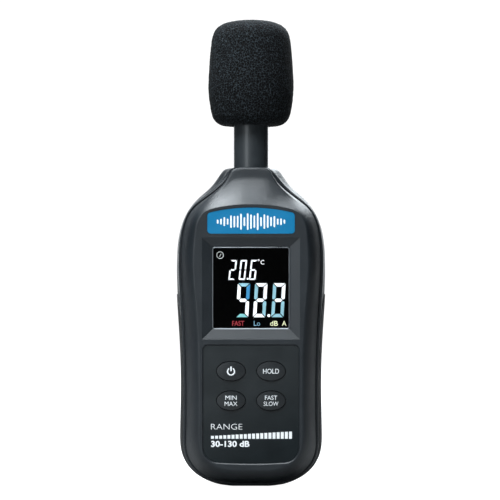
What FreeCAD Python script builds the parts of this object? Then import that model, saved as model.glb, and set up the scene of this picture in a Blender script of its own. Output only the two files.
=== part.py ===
import FreeCAD
import Part
import math
import os

# A hand-held sound level meter, standing upright on its base.
# +Z runs along the meter towards the microphone, the display faces -Y, and +X is to its right.
# The origin is on the base plane, under the microphone's axis. All sizes are in millimetres.

Vec = FreeCAD.Vector
UP = Vec(0, 0, 1)
BACKWARD = Vec(0, 1, 0)
OVERRUN = 1.0  # how far a cutting tool runs past the face that it opens

# Depths of the case, along Y.
FRONT_FACE_Y = -15.5
RIM_Y = -5.0
PARTING_Y = -4.5
WIDEST_Y = 3.0
SHOULDER_Y = 10.0
RIM_STEP = 0.4  # how far the rear shell's front edge stands outside the front shell's
SEAT_GAP = 0.2
BACK_FACE_Y = 17.1
WALL = 2.0

# Outlines of the case in the XZ plane, right half, from the base centre to the top centre.
WHOLE_OUTLINE = [
    (0, -0.5), (9.5, -0.35), (16.6, 1.5), (23.6, 6.0), (27.4, 12.6), (28.1, 21.0), (27.8, 37.0),
    (28.2, 56.0), (29.3, 74.0), (29.6, 91.0), (28.3, 101.6), (25.3, 109.0), (20.9, 114.4),
    (15.7, 119.1), (12.2, 123.9), (10.4, 125.8), (7.0, 126.3), (0, 126.4),
]
SPLIT_OUTLINE = [
    (0, 1.2), (9.5, 1.5), (15.6, 2.9), (21.8, 6.9), (25.3, 12.6), (25.9, 21.0), (25.7, 37.0),
    (26.1, 56.0), (27.0, 74.0), (27.8, 89.6), (26.9, 100.8), (23.8, 109.0), (18.3, 113.9),
    (12.8, 118.2), (8.7, 123.0), (7.2, 125.3), (5.0, 126.1), (0, 126.3),
]
FACE_OUTLINE = [
    (0, 7.9), (9.3, 8.2), (14.3, 9.8), (18.5, 13.8), (20, 19.7), (20, 27.5), (20, 39.2),
    (20.2, 56.8), (21.2, 72.5), (22.2, 88.1), (21.8, 97.9), (20.5, 104.9), (18, 108.4), (14.1, 110),
    (9.8, 110.8), (6.5, 111.2), (3.4, 111.4), (0, 111.4),
]
BACK_OUTLINE = [
    (0, 5.2), (9.5, 5.5), (15.0, 7.2), (19.9, 11.2), (22.3, 16.6), (22.7, 24.0), (22.5, 38.0),
    (22.8, 56.0), (23.6, 73.0), (23.9, 88.0), (22.8, 98.0), (20.2, 105.0), (16.6, 109.6),
    (12.4, 113.8), (9.2, 117.8), (7.6, 120.0), (4.6, 121.2), (0, 121.4),
]
OUTLINE_SAMPLES = 44
NECK_FROM_Z = 108.0  # split-outline height where the neck's hollow form takes over
NECK_FRONT_Y = -8.7

# Rubber grip.
GRIP_THICKNESS = 1.5
GRIP_PROUD = 0.3
GRIP_BACKING = 1.4
GRIP_TOP_Z = 76.0
GRIP_FULL_Z = 62.0
GRIP_FRONT_Y = -2.9
GRIP_BACK_Y = 9.0
GRIP_TIP_Y = 2.6

# Badge.
BADGE_HALF_WIDTH = 17.15
BADGE_LOW_Z = 99.85
BADGE_SIDE_Z = 108.1
BADGE_CROWN_Z = 110.25
BADGE_CORNER = 1.4
BADGE_POCKET = 0.8
BADGE_SINK = 0.12
BADGE_GAP = 0.12

# Display.
BEZEL_HALF_WIDTH = 19.1
BEZEL_LOW_Z = 58.7
BEZEL_HIGH_Z = 98.5
WINDOW_HALF_WIDTH = 14.95
WINDOW_LOW_Z = 62.8
WINDOW_HIGH_Z = 94.6
BEZEL_DEPTH = 1.2
LIP_WIDTH = 0.4
LIP_DEPTH = 0.35
PANE_LAP = 1.6
PANE_THICKNESS = 1.0
LCD_THICKNESS = 2.0
BACKLIGHT_THICKNESS = 1.8
FRAME_WALL = 1.6

# Keypad.
KEYPAD_HALF_WIDTH = 18.7
KEYPAD_HIGH_Z = 56.5
KEYPAD_SIDE_LOW_Z = 11.1
KEYPAD_CROWN_LOW_Z = 10.2
KEYPAD_TOP_CORNER = 2.0
KEYPAD_LOW_CORNER = 5.9
KEYPAD_POCKET = 1.0
KEYPAD_CHAMFER = 0.35
KEYPAD_OVERLAY = 0.6
KEY_X = 7.8
KEY_UPPER_Z = 46.4
KEY_LOWER_Z = 34.9
KEY_HALF_WIDTH = 5.5
KEY_HALF_HEIGHT = 3.65
KEY_GAP = 0.3
KEY_EDGE_Y = -15.6
KEY_DOME = 0.4
KEY_FLANGE = 0.9
KEY_FLANGE_BACK_Y = -12.3
KEY_TRAVEL = 0.7
PILL_RADIUS = 2.6
PILL_THICKNESS = 0.8
MAT_THICKNESS = 1.0
KEYS = {
    "power": (-KEY_X, KEY_UPPER_Z),
    "hold": (KEY_X, KEY_UPPER_Z),
    "min_max": (-KEY_X, KEY_LOWER_Z),
    "fast_slow": (KEY_X, KEY_LOWER_Z),
}

# Main board.
BOARD_FRONT_Y = -7.5
BOARD_THICKNESS = 1.6
BOARD_BACK_Y = BOARD_FRONT_Y + BOARD_THICKNESS
BOARD_HALF_WIDTH = 19.5
BOARD_LOW_Z = 12.5
BOARD_HIGH_Z = 99.2
BOARD_CORNER = 2.0
BOARD_SCREW_X = 17.0
BOARD_SCREW_HEIGHTS = (16.0, 54.6)

# Microphone.
TUBE_RADIUS = 6.9
TUBE_BORE = 6.1
TUBE_LOW_Z = 109.0
TUBE_HIGH_Z = 166.0
TUBE_FLANGE_RADIUS = 8.0
TUBE_FLANGE_HEIGHT = 1.9
RIB_LOW_Z = 111.0
RIB_HIGH_Z = 113.0
GRILLE_THICKNESS = 0.9
CAPSULE_RADIUS = 4.85
CAPSULE_HEIGHT = 6.5
HOLDER_HEIGHT = 9.0
LEAD_RADIUS = 1.1

# Windscreen: a foam barrel with a domed top.
WINDSCREEN_LOW_Z = 143.0
WINDSCREEN_HIGH_Z = 185.0
WINDSCREEN_RADIUS = 17.15
WINDSCREEN_BORE = 7.15
WINDSCREEN_BORE_DEPTH = 24.0

# Battery bay and door.
CELL_RADIUS = 5.25
CELL_LENGTH = 44.5
CELL_PITCH = 10.8
BAY_HALF_WIDTH = 16.5
BAY_LOW_Z = 15.4
BAY_HIGH_Z = 64.6
BAY_FLOOR_Y = 3.2
BAY_WALL = 1.3
DOOR_HALF_WIDTH = 18.0
DOOR_LOW_Z = 13.6
DOOR_HIGH_Z = 66.4
DOOR_THICKNESS = 1.8
DOOR_GAP = 0.3
DOOR_CORNER = 2.5
HOOK_X = 9.0
HOOK_WIDTH = 5.0
HOOK_DEPTH = 0.9
HOOK_REACH = 1.0
HOOK_OUTER_Y = BACK_FACE_Y - DOOR_THICKNESS - 0.2
HINGE_Y = BACK_FACE_Y - DOOR_THICKNESS / 2
HINGE_Z = DOOR_LOW_Z + DOOR_THICKNESS / 2

# Fastenings and fittings on the back.
HOUSING_SCREWS = ((-17.0, 103.5), (17.0, 103.5), (-13.0, 7.9), (13.0, 7.9))
BOSS_RADIUS = 3.3
SCREW_RADIUS = 1.25
SCREW_HEAD_RADIUS = 2.4
SCREW_HEAD_HEIGHT = 1.7
SCREW_SINK = 5.0
SCREW_LENGTH = 15.0
SCREW_CLEARANCE = 0.15
TRIPOD_Z = 76.5
TRIPOD_RADIUS = 2.55
TRIPOD_OUTER = 4.2
TRIPOD_LENGTH = 8.0
LABEL_HALF_WIDTH = 15.0
LABEL_LOW_Z = 86.5
LABEL_HIGH_Z = 97.5
LABEL_THICKNESS = 0.4


# ---- basic shapes -------------------------------------------------------------------------

def box(x0, x1, y0, y1, z0, z1):
    return Part.makeBox(x1 - x0, y1 - y0, z1 - z0, Vec(x0, y0, z0))


def rod(radius, y0, y1, x, z):
    """A cylinder along Y."""
    return Part.makeCylinder(radius, y1 - y0, Vec(x, y0, z), BACKWARD)


def post(radius, z0, z1, x=0.0, y=0.0):
    """A cylinder along Z."""
    return Part.makeCylinder(radius, z1 - z0, Vec(x, y, z0), UP)


def prism(wire, y0, y1):
    """A closed flat wire, drawn in the XZ plane at y = 0, run from y0 to y1."""
    face = Part.Face(wire)
    face.translate(Vec(0, y0, 0))
    return face.extrude(Vec(0, y1 - y0, 0))


def line(a, b):
    return Part.LineSegment(Vec(a[0], 0, a[1]), Vec(b[0], 0, b[1])).toShape()


def arc(a, middle, b):
    points = [Vec(p[0], 0, p[1]) for p in (a, middle, b)]
    return Part.Arc(*points).toShape()


def rounded_plate(half_width, z0, z1, y0, y1, corner):
    """A flat rectangular plate with rounded corners, facing along Y."""
    plate = box(-half_width, half_width, y0, y1, z0, z1)
    upright = [e for e in plate.Edges if abs(e.tangentAt(e.FirstParameter).y) > 0.99]
    return plate.makeFillet(corner, upright)


def oval(half_width, half_height, y0, y1, x, z):
    """An elliptical cylinder along Y."""
    ellipse = Part.Ellipse(Vec(half_width, 0, 0), Vec(0, 0, half_height), Vec(0, 0, 0)).toShape()
    solid = prism(Part.Wire(ellipse), y0, y1)
    solid.translate(Vec(x, 0, z))
    return solid


def join(shapes):
    first, rest = shapes[0], shapes[1:]
    return first.fuse(rest).removeSplitter() if rest else first


def group(shapes):
    return Part.makeCompound(shapes)


# ---- the case's outer form ----------------------------------------------------------------

def closed_curve(half):
    """A closed smooth curve through the right half's points and their mirror images."""
    left = [Vec(-p.x, p.y, p.z) for p in reversed(half[1:-1])]
    curve = Part.BSplineCurve()
    curve.interpolate(Points=half + left, PeriodicFlag=True)
    return curve


def sample(outline):
    """Even samples along the smooth curve through an outline's points."""
    curve = closed_curve([Vec(x, 0, z) for x, z in outline])
    spans = len(outline) - 1
    samples = []
    for index in range(OUTLINE_SAMPLES + 1):
        place = index / OUTLINE_SAMPLES * spans
        knot = min(int(place), spans - 1)
        low, high = curve.getKnot(knot + 1), curve.getKnot(knot + 2)
        point = curve.value(low + (high - low) * (place - knot))
        samples.append((point.x, point.z))
    return samples


def inset(samples, distance):
    """The outline moved inwards, square to itself, with the folds at tight corners taken out."""
    moved = []
    last = len(samples) - 1
    for index, (x, z) in enumerate(samples):
        before, after = samples[max(index - 1, 0)], samples[min(index + 1, last)]
        dx, dz = after[0] - before[0], after[1] - before[1]
        if index in (0, last):
            dz = 0.0
        length = math.hypot(dx, dz)
        moved.append((x - distance * dz / length, z + distance * dx / length))
    near = 0.985 * abs(distance)
    sound = [index for index, point in enumerate(moved)
             if min(math.dist(point, other) for other in samples) >= near]
    return [between(moved, sound, index) for index in range(last + 1)]


def between(points, sound, index):
    """The point itself where it is sound, or its share of the way between its sound neighbours."""
    low = max((i for i in sound if i <= index), default=sound[0])
    high = min((i for i in sound if i >= index), default=sound[-1])
    if low == high:
        return points[low]
    share = (index - low) / (high - low)
    return tuple(a + (b - a) * share for a, b in zip(points[low], points[high]))


def mix(first, second, weight):
    return [tuple(a + (b - a) * weight for a, b in zip(p, q)) for p, q in zip(first, second)]


def ring(half):
    return Part.Wire(closed_curve(half).toShape())


def level_ring(samples, y):
    return ring([Vec(x, y, z) for x, z in samples])


WHOLE = sample(WHOLE_OUTLINE)
SPLIT = sample(SPLIT_OUTLINE)
FACE = sample(FACE_OUTLINE)
BACK = sample(BACK_OUTLINE)


def back_form(shrink):
    """The rear shell's outer form, or that form shrunk on every side."""
    rings = []
    rim = inset(SPLIT, -RIM_STEP)
    for step in range(4):
        share = step / 3
        outline = mix(rim, WHOLE, share ** 0.85)
        rings.append(level_ring(inset(outline, shrink), RIM_Y + (WIDEST_Y - RIM_Y) * share))
    rings.append(level_ring(inset(WHOLE, shrink), (WIDEST_Y + SHOULDER_Y) / 2))
    for step in range(5):
        angle = step / 4 * math.pi / 2
        y = SHOULDER_Y + (BACK_FACE_Y - shrink - SHOULDER_Y) * math.sin(angle)
        outline = mix(inset(WHOLE, shrink), inset(BACK, shrink), 1 - math.cos(angle))
        rings.append(level_ring(outline, y))
    return Part.makeLoft(rings, True, False)


def side_profile(t):
    """How far in and how far forward a side facet has come, t running from rim to face."""
    return t, 1 - (1 - t) ** 1.7


def neck_profile(t):
    """The same for the neck, which holds its width under the tube and then sweeps out."""
    neck_depth = (RIM_Y - NECK_FRONT_Y) / (RIM_Y - FRONT_FACE_Y)
    turn = 0.28
    if t < turn:
        return 0.05 * (t / turn) ** 2, neck_depth * math.sin(t / turn * math.pi / 2)
    rest = (t - turn) / (1 - turn)
    return 0.05 + 0.95 * rest ** 0.85, neck_depth + (1 - neck_depth) * rest ** 1.9


def front_form(shrink):
    """The front shell's outer form, or that form shrunk on every side."""
    low, high = inset(SPLIT, shrink), inset(FACE, shrink)
    rings = []
    steps = 8
    for step in range(steps + 1):
        t = step / steps
        points = []
        for index, (start, end) in enumerate(zip(low, high)):
            rise = (SPLIT[index][1] - NECK_FROM_Z) / (SPLIT[-1][1] - NECK_FROM_Z)
            neck = min(max(rise, 0.0), 1.0)
            neck = neck * neck * (3 - 2 * neck)
            side_in, side_out = side_profile(t)
            neck_in, neck_out = neck_profile(t)
            inward = side_in + (neck_in - side_in) * neck
            forward = side_out + (neck_out - side_out) * neck
            x = start[0] + (end[0] - start[0]) * inward
            z = start[1] + (end[1] - start[1]) * inward
            points.append(Vec(x, RIM_Y + (FRONT_FACE_Y + shrink - RIM_Y) * forward, z))
        rings.append(ring(points))
    return Part.makeLoft(rings, True, False)


ABOVE_BASE = box(-50, 50, -50, 50, 0, 200)
BACK_OUTER = back_form(0.0).common(ABOVE_BASE)


# ---- front housing and what it frames --------------------------------------------------------

def arched_plate(half_width, low, side, crown, corner, y0, y1):
    """The badge: a straight lower edge, and an upper edge arched between its ends."""
    wire = Part.Wire([
        line((-half_width, low), (half_width, low)),
        line((half_width, low), (half_width, side)),
        arc((half_width, side), (0, crown), (-half_width, side)),
        line((-half_width, side), (-half_width, low)),
    ])
    plate = prism(wire, y0, y1)
    upright = [e for e in plate.Edges if abs(e.tangentAt(e.FirstParameter).y) > 0.99]
    return plate.makeFillet(corner, upright)


def badge(gap, y0, y1):
    return arched_plate(BADGE_HALF_WIDTH - gap, BADGE_LOW_Z + gap, BADGE_SIDE_Z - gap,
                        BADGE_CROWN_Z - gap, BADGE_CORNER, y0, y1)


def keypad(gap, y0, y1):
    """The keypad's outline: small upper corners, large lower ones, a bowed lower edge."""
    half = KEYPAD_HALF_WIDTH - gap
    high, side, crown = KEYPAD_HIGH_Z - gap, KEYPAD_SIDE_LOW_Z + gap, KEYPAD_CROWN_LOW_Z + gap
    wire = Part.Wire([
        line((-half, high), (half, high)),
        line((half, high), (half, side)),
        arc((half, side), (0, crown), (-half, side)),
        line((-half, side), (-half, high)),
    ])
    plate = prism(wire, y0, y1)
    upright = [e for e in plate.Edges if abs(e.tangentAt(e.FirstParameter).y) > 0.99]
    lower = [e for e in upright if e.CenterOfMass.z < (KEYPAD_HIGH_Z + KEYPAD_SIDE_LOW_Z) / 2]
    plate = plate.makeFillet(KEYPAD_LOW_CORNER, lower)
    upper = [e for e in plate.Edges if abs(e.tangentAt(e.FirstParameter).y) > 0.99
             and e.CenterOfMass.z > KEYPAD_HIGH_Z - gap - 0.01 and abs(e.CenterOfMass.x) > half - 0.01]
    return plate.makeFillet(KEYPAD_TOP_CORNER, upper)


def rectangle(half_width, low, high, y):
    corners = [(-half_width, low), (half_width, low), (half_width, high), (-half_width, high)]
    points = [Vec(x, y, z) for x, z in corners]
    return Part.makePolygon(points + points[:1])


def funnel(near, far):
    """A straight-sided loft between two rectangles, each a half width, a low, a high and a depth."""
    return Part.makeLoft([rectangle(*near), rectangle(*far)], True, True)


def bezel_cuts():
    """The sloped sides round the display, the steeper lip inside them, and the opening."""
    rise = (BEZEL_HALF_WIDTH - WINDOW_HALF_WIDTH - LIP_WIDTH) / BEZEL_DEPTH * 0.1
    mouth = (BEZEL_HALF_WIDTH + rise, BEZEL_LOW_Z - rise, BEZEL_HIGH_Z + rise, FRONT_FACE_Y - 0.1)
    lip = (WINDOW_HALF_WIDTH + LIP_WIDTH, WINDOW_LOW_Z - LIP_WIDTH, WINDOW_HIGH_Z + LIP_WIDTH,
           FRONT_FACE_Y + BEZEL_DEPTH)
    throat = (WINDOW_HALF_WIDTH, WINDOW_LOW_Z, WINDOW_HIGH_Z, FRONT_FACE_Y + BEZEL_DEPTH + LIP_DEPTH)
    opening = rounded_plate(WINDOW_HALF_WIDTH, WINDOW_LOW_Z, WINDOW_HIGH_Z,
                            FRONT_FACE_Y + BEZEL_DEPTH, BOARD_FRONT_Y, 0.8)
    return [funnel(mouth, lip), funnel(lip, throat), opening]


def key_holes(gap, y0, y1):
    return [oval(KEY_HALF_WIDTH + gap, KEY_HALF_HEIGHT + gap, y0, y1, x, z) for x, z in KEYS.values()]


def tube_passage():
    return post(TUBE_RADIUS + 0.03, RIB_LOW_Z - OVERRUN, 130.0)


def neck_rib():
    """The cross wall that holds the tube's flange down."""
    return box(-30, 30, -20, 20, RIB_LOW_Z, RIB_HIGH_Z)


def board_screw_places():
    return [(side * BOARD_SCREW_X, z) for side in (-1, 1) for z in BOARD_SCREW_HEIGHTS]


def board_posts():
    return [rod(2.2, FRONT_FACE_Y + WALL - 0.2, BOARD_FRONT_Y, x, z) for x, z in board_screw_places()]


def front_housing():
    outer = front_form(0.0).common(ABOVE_BASE)
    groove = 0.35
    trim = front_form(groove).fuse(box(-50, 50, -50, RIM_Y - 0.9, 0, 200))
    outer = outer.common(trim)
    hollow = front_form(WALL).cut(neck_rib())
    shell = outer.cut(hollow)
    shell = shell.fuse([b.common(outer) for b in board_posts() + front_bosses()])
    shell = shell.cut(badge(0.0, FRONT_FACE_Y - OVERRUN, FRONT_FACE_Y + BADGE_POCKET))
    shell = shell.cut(keypad(0.0, FRONT_FACE_Y - OVERRUN, FRONT_FACE_Y + KEYPAD_POCKET))
    shell = chamfer_keypad_edge(shell)
    tools = bezel_cuts()
    tools += key_holes(KEY_GAP, FRONT_FACE_Y, FRONT_FACE_Y + WALL + OVERRUN)
    tools.append(tube_passage())
    tools += screw_holes(HOUSING_SCREWS, SCREW_RADIUS, PARTING_Y - 9.0, PARTING_Y + OVERRUN)
    tools += screw_holes(board_screw_places(), 0.8, BOARD_FRONT_Y - 5.0, BOARD_FRONT_Y + OVERRUN)
    return shell.cut(tools)


def chamfer_keypad_edge(shell):
    """Breaks the front edge of the keypad's recess."""
    edges = []
    for edge in shell.Edges:
        bounds = edge.BoundBox
        flat = abs(bounds.YMin - FRONT_FACE_Y) < 0.01 and abs(bounds.YMax - FRONT_FACE_Y) < 0.01
        inside = abs(bounds.XMin) < KEYPAD_HALF_WIDTH + 0.1 and abs(bounds.XMax) < KEYPAD_HALF_WIDTH + 0.1
        if flat and inside and bounds.ZMax < KEYPAD_HIGH_Z + 0.1:
            edges.append(edge)
    return shell.makeChamfer(KEYPAD_CHAMFER, edges)


def front_bosses():
    return [rod(2.7, FRONT_FACE_Y + WALL - 0.2, RIM_Y, x, z) for x, z in HOUSING_SCREWS]


def screw_holes(places, radius, y0, y1):
    return [rod(radius, y0, y1, x, z) for x, z in places]


def badge_plate():
    return badge(BADGE_GAP, FRONT_FACE_Y + BADGE_SINK, FRONT_FACE_Y + BADGE_POCKET)


def keypad_panel():
    back = FRONT_FACE_Y + KEYPAD_POCKET
    panel = keypad(0.1, back - KEYPAD_OVERLAY, back)
    return panel.cut(key_holes(KEY_GAP, back - KEYPAD_OVERLAY - OVERRUN, back + OVERRUN))


def display_window():
    front = FRONT_FACE_Y + WALL
    return rounded_plate(WINDOW_HALF_WIDTH + PANE_LAP, WINDOW_LOW_Z - PANE_LAP,
                         WINDOW_HIGH_Z + PANE_LAP, front, front + PANE_THICKNESS, 1.0)


LCD_FRONT_Y = FRONT_FACE_Y + WALL + PANE_THICKNESS + 0.2
LCD_BACK_Y = LCD_FRONT_Y + LCD_THICKNESS
LCD_LOW_Z = WINDOW_LOW_Z - 1.0
LCD_HIGH_Z = WINDOW_HIGH_Z + 0.6
LCD_HALF_WIDTH = WINDOW_HALF_WIDTH + 0.6
LEDGE = 2.6  # height of the glass's lower ledge, where the elastomer strip presses


def lcd_glass():
    """Two panes: the front one stops above the ledge that carries the contacts."""
    middle = LCD_FRONT_Y + LCD_THICKNESS / 2
    rear = box(-LCD_HALF_WIDTH, LCD_HALF_WIDTH, middle, LCD_BACK_Y, LCD_LOW_Z + LEDGE, LCD_HIGH_Z)
    front = box(-LCD_HALF_WIDTH, LCD_HALF_WIDTH, LCD_FRONT_Y, middle, LCD_LOW_Z, LCD_HIGH_Z)
    return join([rear, front])


def lcd_backlight():
    return box(-LCD_HALF_WIDTH, LCD_HALF_WIDTH, LCD_BACK_Y, LCD_BACK_Y + BACKLIGHT_THICKNESS,
               LCD_LOW_Z + LEDGE, LCD_HIGH_Z - 1.4)


def backlight_leds():
    z0 = LCD_HIGH_Z - 1.3
    return group([box(x - 1.5, x + 1.5, LCD_BACK_Y + 0.4, LCD_BACK_Y + 1.6, z0, z0 + 1.0)
                  for x in (-8.0, 8.0)])


def zebra_connectors():
    middle = LCD_FRONT_Y + LCD_THICKNESS / 2
    return group([box(x0, x0 + 14.0, middle, BOARD_FRONT_Y, LCD_LOW_Z + 0.3, LCD_LOW_Z + LEDGE - 0.3)
                  for x0 in (-14.6, 0.6)])


def lcd_frame():
    outer_half = LCD_HALF_WIDTH + FRAME_WALL
    frame = rounded_plate(outer_half, LCD_LOW_Z - FRAME_WALL, LCD_HIGH_Z + FRAME_WALL,
                          LCD_FRONT_Y, BOARD_FRONT_Y, 1.0)
    inside = box(-LCD_HALF_WIDTH, LCD_HALF_WIDTH, LCD_FRONT_Y - OVERRUN, BOARD_FRONT_Y + OVERRUN,
                 LCD_LOW_Z, LCD_HIGH_Z)
    return frame.cut(inside)


# ---- keys ------------------------------------------------------------------------------------

def key_button(x, z):
    """A domed oval cap, a flange that keeps it behind the panel, and a plunger."""
    cap = oval(KEY_HALF_WIDTH, KEY_HALF_HEIGHT, KEY_EDGE_Y - KEY_DOME, KEY_FLANGE_BACK_Y - 0.4, x, z)
    dome_radius = (KEY_HALF_WIDTH ** 2 + KEY_DOME ** 2) / (2 * KEY_DOME)
    dome = Part.makeSphere(dome_radius, Vec(x, KEY_EDGE_Y - KEY_DOME + dome_radius, z))
    cap = cap.common(dome)
    flange = oval(KEY_HALF_WIDTH + KEY_FLANGE, KEY_HALF_HEIGHT + KEY_FLANGE,
                  KEY_FLANGE_BACK_Y - 0.9, KEY_FLANGE_BACK_Y, x, z)
    plunger = rod(PILL_RADIUS, KEY_FLANGE_BACK_Y - 0.1, pill_front_y(), x, z)
    return join([cap, flange, plunger])


def pill_front_y():
    rest_gap = KEY_TRAVEL + 0.3
    return BOARD_FRONT_Y - rest_gap - PILL_THICKNESS


def key_pill(x, z):
    return rod(PILL_RADIUS, pill_front_y(), pill_front_y() + PILL_THICKNESS, x, z)


def keypad_mat():
    middle = (KEY_UPPER_Z + KEY_LOWER_Z) / 2
    reach = (KEY_UPPER_Z - KEY_LOWER_Z) / 2 + KEY_HALF_HEIGHT + 1.5
    mat = rounded_plate(KEY_X + KEY_HALF_WIDTH + 1.2, middle - reach, middle + reach,
                        BOARD_FRONT_Y - MAT_THICKNESS, BOARD_FRONT_Y, 2.0)
    return mat.cut([rod(PILL_RADIUS + 1.0, BOARD_FRONT_Y - 2 * MAT_THICKNESS,
                        BOARD_FRONT_Y + OVERRUN, x, z) for x, z in KEYS.values()])


# ---- main board --------------------------------------------------------------------------------

def main_board():
    board = rounded_plate(BOARD_HALF_WIDTH, BOARD_LOW_Z, BOARD_HIGH_Z, BOARD_FRONT_Y,
                          BOARD_BACK_Y, BOARD_CORNER)
    return board.cut(screw_holes(board_screw_places(), 1.1, BOARD_FRONT_Y - OVERRUN,
                                 BOARD_BACK_Y + OVERRUN))


def board_screws():
    """Pan-head screws from the board's back into the front housing's posts."""
    screws = []
    for x, z in board_screw_places():
        shank = rod(0.78, BOARD_FRONT_Y - 4.5, BOARD_BACK_Y + 0.1, x, z)
        head = rod(1.8, BOARD_BACK_Y, BOARD_BACK_Y + 1.2, x, z)
        head = head.makeFillet(0.4, [e for e in head.Edges if e.CenterOfMass.y > BOARD_BACK_Y + 1])
        slots = cross_recess(x, z, BOARD_BACK_Y + 1.2, 1.0, 0.7)
        screws.append(join([shank, head]).cut(slots))
    return group(screws)


def cross_recess(x, z, y, reach, depth):
    half = 0.22
    return [box(x - reach, x + reach, y - depth, y + OVERRUN, z - half, z + half),
            box(x - half, x + half, y - depth, y + OVERRUN, z - reach, z + reach)]


def chip(x, z, width, height, thickness, legs, pitch):
    """A moulded chip body with gull-wing legs on its two sides."""
    y = BOARD_BACK_Y
    body = box(x - width / 2, x + width / 2, y + 0.1, y + 0.1 + thickness, z - height / 2, z + height / 2)
    pieces = [body]
    for index in range(legs):
        leg_z = z + (index - (legs - 1) / 2) * pitch
        pieces.append(box(x - width / 2 - 0.9, x + width / 2 + 0.9, y, y + 0.5, leg_z - 0.18, leg_z + 0.18))
    return join(pieces)


def controller_chip():
    return chip(0.0, 41.0, 10.0, 10.0, 1.4, 16, 0.55)


def amplifier_chips():
    return group([chip(x, 84.0, 4.0, 5.0, 1.5, 4, 1.2) for x in (-9.0, 9.0)])


def quartz_crystal():
    y = BOARD_BACK_Y
    can = box(8.6, 12.4, y, y + 3.2, 36.0, 46.0)
    return can.makeFillet(1.5, [e for e in can.Edges if abs(e.tangentAt(e.FirstParameter).y) > 0.99])


def electrolytic_capacitors():
    cans = []
    for x, z in ((-13.0, 76.0), (-13.0, 69.5), (13.0, 76.0)):
        base = box(x - 2.6, x + 2.6, BOARD_BACK_Y, BOARD_BACK_Y + 0.8, z - 2.6, z + 2.6)
        can = rod(2.5, BOARD_BACK_Y + 0.7, BOARD_BACK_Y + 5.2, x, z)
        can = can.makeFillet(0.3, [e for e in can.Edges if e.CenterOfMass.y > BOARD_BACK_Y + 5])
        cans.append(join([base, can]))
    return group(cans)


def chip_passives():
    parts = []
    for row in range(2):
        for column in range(6):
            x = -6.0 + 2.4 * column
            z = 52.0 + 3.2 * row
            parts.append(box(x - 0.4, x + 0.4, BOARD_BACK_Y, BOARD_BACK_Y + 0.45, z - 0.8, z + 0.8))
    return group(parts)


def temperature_sensor():
    """A rounded bead on two legs at the board's top edge."""
    y = BOARD_BACK_Y
    bead = post(1.1, 96.2, 98.6, 10.0, y + 1.4)
    bead = bead.makeFillet(0.5, [e for e in bead.Edges if e.Curve.TypeId == "Part::GeomCircle"])
    legs = [box(10.0 + dx - 0.2, 10.0 + dx + 0.2, y, y + 1.5, 95.9, 96.4) for dx in (-0.6, 0.6)]
    return join([bead] + legs)


# ---- microphone ----------------------------------------------------------------------------------

def microphone_tube():
    tube = post(TUBE_RADIUS, TUBE_LOW_Z, TUBE_HIGH_Z)
    tip = [e for e in tube.Edges if e.CenterOfMass.z > TUBE_HIGH_Z - 0.01]
    tube = tube.makeChamfer(0.3, tip[:1])
    flange = post(TUBE_FLANGE_RADIUS, TUBE_LOW_Z, TUBE_LOW_Z + TUBE_FLANGE_HEIGHT)
    bore = post(TUBE_BORE, TUBE_LOW_Z - OVERRUN, TUBE_HIGH_Z + OVERRUN)
    return join([tube, flange]).cut(bore)


HOLDER_HIGH_Z = TUBE_HIGH_Z - 0.2 - GRILLE_THICKNESS
CAPSULE_LOW_Z = HOLDER_HIGH_Z - CAPSULE_HEIGHT


def microphone_holder():
    holder = post(TUBE_BORE, HOLDER_HIGH_Z - HOLDER_HEIGHT, HOLDER_HIGH_Z)
    seat = post(CAPSULE_RADIUS, CAPSULE_LOW_Z, HOLDER_HIGH_Z + OVERRUN)
    passage = post(LEAD_RADIUS, HOLDER_HIGH_Z - HOLDER_HEIGHT - OVERRUN, HOLDER_HIGH_Z)
    return holder.cut([seat, passage])


def microphone_capsule():
    capsule = post(CAPSULE_RADIUS, CAPSULE_LOW_Z, HOLDER_HIGH_Z)
    return capsule.cut(post(3.4, HOLDER_HIGH_Z - 0.5, HOLDER_HIGH_Z + OVERRUN))


def microphone_grille():
    """A disc with a centre hole and two rings of small holes."""
    z0 = HOLDER_HIGH_Z
    disc = post(TUBE_BORE, z0, z0 + GRILLE_THICKNESS)
    holes = [post(0.5, z0 - OVERRUN, z0 + OVERRUN * 2)]
    for radius, count in ((2.0, 6), (3.9, 12)):
        for index in range(count):
            angle = 2 * math.pi * index / count
            x, y = radius * math.cos(angle), radius * math.sin(angle)
            holes.append(post(0.5, z0 - OVERRUN, z0 + OVERRUN * 2, x, y))
    return disc.cut(holes)


def wire_run(points, radius):
    """A round wire along straight runs joined by arcs as large as the runs allow."""
    corners = [Vec(*p) for p in points]
    edges = []
    start = corners[0]
    for before, corner, after in zip(corners, corners[1:], corners[2:]):
        back, ahead = before - corner, after - corner
        reach = 0.45 * min(back.Length, ahead.Length)
        back.normalize()
        ahead.normalize()
        half = back.getAngle(ahead) / 2
        bisector = (back + ahead).normalize()
        bend = reach * math.tan(half)
        centre_gap = reach / math.cos(half)
        entry, leave = corner + back * reach, corner + ahead * reach
        middle = corner + bisector * (centre_gap - bend)
        edges.append(Part.LineSegment(start, entry).toShape())
        edges.append(Part.Arc(entry, middle, leave).toShape())
        start = leave
    edges.append(Part.LineSegment(start, corners[-1]).toShape())
    path = Part.Wire(edges)
    first = corners[1] - corners[0]
    section = Part.Wire(Part.makeCircle(radius, corners[0], first))
    run = path.makePipeShell([section], True, True)
    print("wire", round(path.Length, 1), "mm, volume ratio",
          round(run.Volume / (math.pi * radius ** 2 * path.Length), 4))
    return run


PLUG_HIGH_Z = 92.0
PLUG_Y = BOARD_BACK_Y + 2.0


def microphone_lead():
    return wire_run([(0, 0, CAPSULE_LOW_Z), (0, 0, 138.0), (0, 0.6, 122.0), (0, -0.9, 108.0),
                     (0, PLUG_Y, 99.0), (0, PLUG_Y, PLUG_HIGH_Z)], LEAD_RADIUS)


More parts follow.
